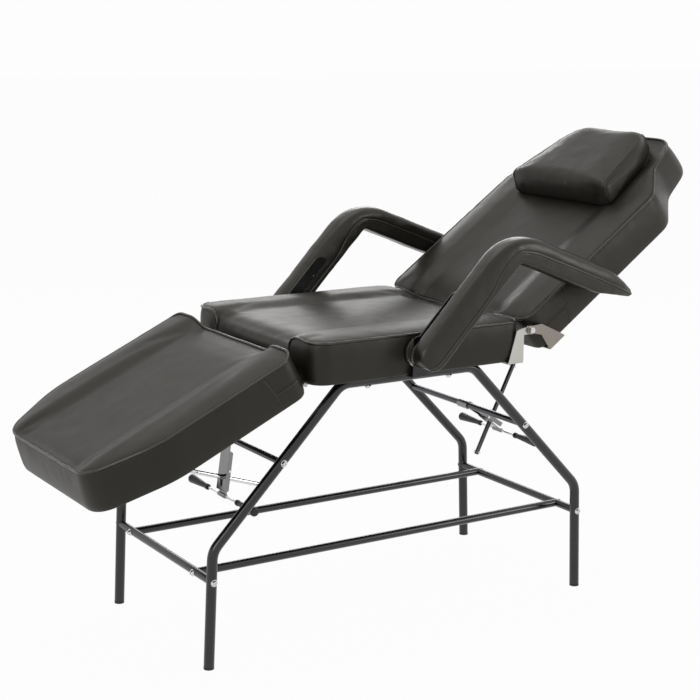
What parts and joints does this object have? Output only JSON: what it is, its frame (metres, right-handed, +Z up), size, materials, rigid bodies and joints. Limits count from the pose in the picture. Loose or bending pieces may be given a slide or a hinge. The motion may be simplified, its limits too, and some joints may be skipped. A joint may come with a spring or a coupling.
{
  "type": "tattoo chair",
  "caption": "Reclining client chair for tattoo work: bent tube stand, hinged back rest and leg rest with squeeze locks, arm rests and a loose head pillow.",
  "frame": {"origin": "on the floor, below the middle of the whole chair's length and width, with the back rest at its rest angle", "axes": "+X towards the head end, +Y to the sitter's right, +Z up"},
  "size_m": [1.818, 0.768, 1.1876],
  "materials": {
    "black_gloss_paint": "gloss black paint on steel tube",
    "chrome": "bright chrome plate on steel",
    "zinc_steel": "zinc plated steel",
    "black_steel": "black oxide steel rod",
    "black_plastic": "black moulded plastic",
    "plywood": "birch plywood",
    "black_leather": "black polyurethane leather, soft sheen"
  },
  "bodies": {
    "base_frame": {"left_side_frame": "black_gloss_paint", "right_side_frame": "black_gloss_paint", "foot_plugs": "black_plastic", "front_crossbar": "black_gloss_paint", "rear_crossbar": "black_gloss_paint", "front_lock_bar": "chrome", "rear_lock_bar": "chrome", "left_rail": "black_gloss_paint", "right_rail": "black_gloss_paint", "crossbar_plugs": "zinc_steel", "lock_bar_plugs": "zinc_steel", "crossbar_bolts": "chrome", "lock_bar_bolts": "chrome", "rail_bolts": "chrome", "seat_bolts": "chrome", "seat_board": "plywood", "seat_cushion": "black_leather", "left_seat_hinge_plate": "chrome", "right_seat_hinge_plate": "chrome", "hinge_studs": "chrome", "hinge_nuts": "chrome", "seat_hinge_leaves": "zinc_steel", "leg_hinge_pins": "zinc_steel", "left_armrest_pad": "black_leather", "right_armrest_pad": "black_leather", "left_armrest_plate": "chrome", "right_armrest_plate": "chrome", "armrest_screws": "chrome", "seat_screws": "zinc_steel"},
    "back_rest": {"back_board": "plywood", "back_cushion": "black_leather", "left_back_hinge_plate": "chrome", "right_back_hinge_plate": "chrome", "back_rod_bracket": "chrome", "back_rod_pin": "chrome", "back_screws": "zinc_steel"},
    "leg_rest": {"leg_board": "plywood", "leg_cushion": "black_leather", "leg_hinge_leaves": "zinc_steel", "leg_rod_bracket": "chrome", "leg_rod_pin": "chrome", "leg_screws": "zinc_steel"},
    "pillow": {"head_pillow": "black_leather"},
    "back_support_rod": {"back_rod": "black_steel", "back_rod_stops": "chrome"},
    "leg_support_rod": {"leg_rod": "chrome", "leg_rod_stops": "chrome"},
    "rear_lock": {"rear_lock_channel": "chrome", "rear_release_pin": "chrome"},
    "front_lock": {"front_lock_channel": "chrome", "front_release_pin": "chrome"},
    "rear_release": {"rear_release_plate": "chrome", "rear_release_lever": "chrome", "rear_release_grips": "black_plastic"},
    "front_release": {"front_release_plate": "chrome", "front_release_lever": "chrome", "front_release_grips": "black_plastic"}
  },
  "joints": [
    {"name": "back_recline", "type": "hinge", "parent": "base_frame", "child": "back_rest", "pos_m": [0.26143, 0, 0.728], "axis": [0, -1, 0], "range_deg": [-35.5, 29.5]},
    {"name": "rear_lock_swing", "type": "hinge", "parent": "base_frame", "child": "rear_lock", "pos_m": [0.29442, 0, 0.469], "axis": [0, -1, 0], "range_deg": [-20, 17]},
    {"name": "back_rod_pivot", "type": "hinge", "parent": "back_rest", "child": "back_support_rod", "pos_m": [0.60205, 0, 0.85428], "axis": [0, -1, 0], "range_deg": [-14, 16.5]},
    {"name": "leg_rest_lift", "type": "hinge", "parent": "base_frame", "child": "leg_rest", "pos_m": [-0.34058, 0, 0.642], "axis": [0, -1, 0], "range_deg": [-25, 20]},
    {"name": "front_lock_swing", "type": "hinge", "parent": "base_frame", "child": "front_lock", "pos_m": [-0.41558, 0, 0.469], "axis": [0, -1, 0], "range_deg": [-26.5, 21.5]},
    {"name": "leg_rod_pivot", "type": "hinge", "parent": "leg_rest", "child": "leg_support_rod", "pos_m": [-0.70597, 0, 0.46168], "axis": [0, -1, 0], "range_deg": [-1.5, 1.5]},
    {"name": "rear_release_squeeze", "type": "hinge", "parent": "rear_lock", "child": "rear_release", "pos_m": [0.36088, 0, 0.42807], "axis": [0, -1, 0], "range_deg": [0, 5], "stiffness_Nm_per_rad": 4, "springref_deg": -11.46},
    {"name": "front_release_squeeze", "type": "hinge", "parent": "front_lock", "child": "front_release", "pos_m": [-0.42896, 0, 0.39211], "axis": [0, -1, 0], "range_deg": [0, 5], "stiffness_Nm_per_rad": 4, "springref_deg": -11.46},
    {"name": "pillow_lift_off", "type": "slide", "parent": "back_rest", "child": "pillow", "axis": [-0.5807, 0, 0.8141], "range_m": [0, 0.12]}
  ],
  "couplings": [
    {"joint": "rear_lock_swing", "follows": "back_recline", "ratio": 0.55},
    {"joint": "back_rod_pivot", "follows": "back_recline", "ratio": -0.45},
    {"joint": "front_lock_swing", "follows": "leg_rest_lift", "ratio": 1.03},
    {"joint": "leg_rod_pivot", "follows": "leg_rest_lift", "ratio": 0.03}
  ]
}
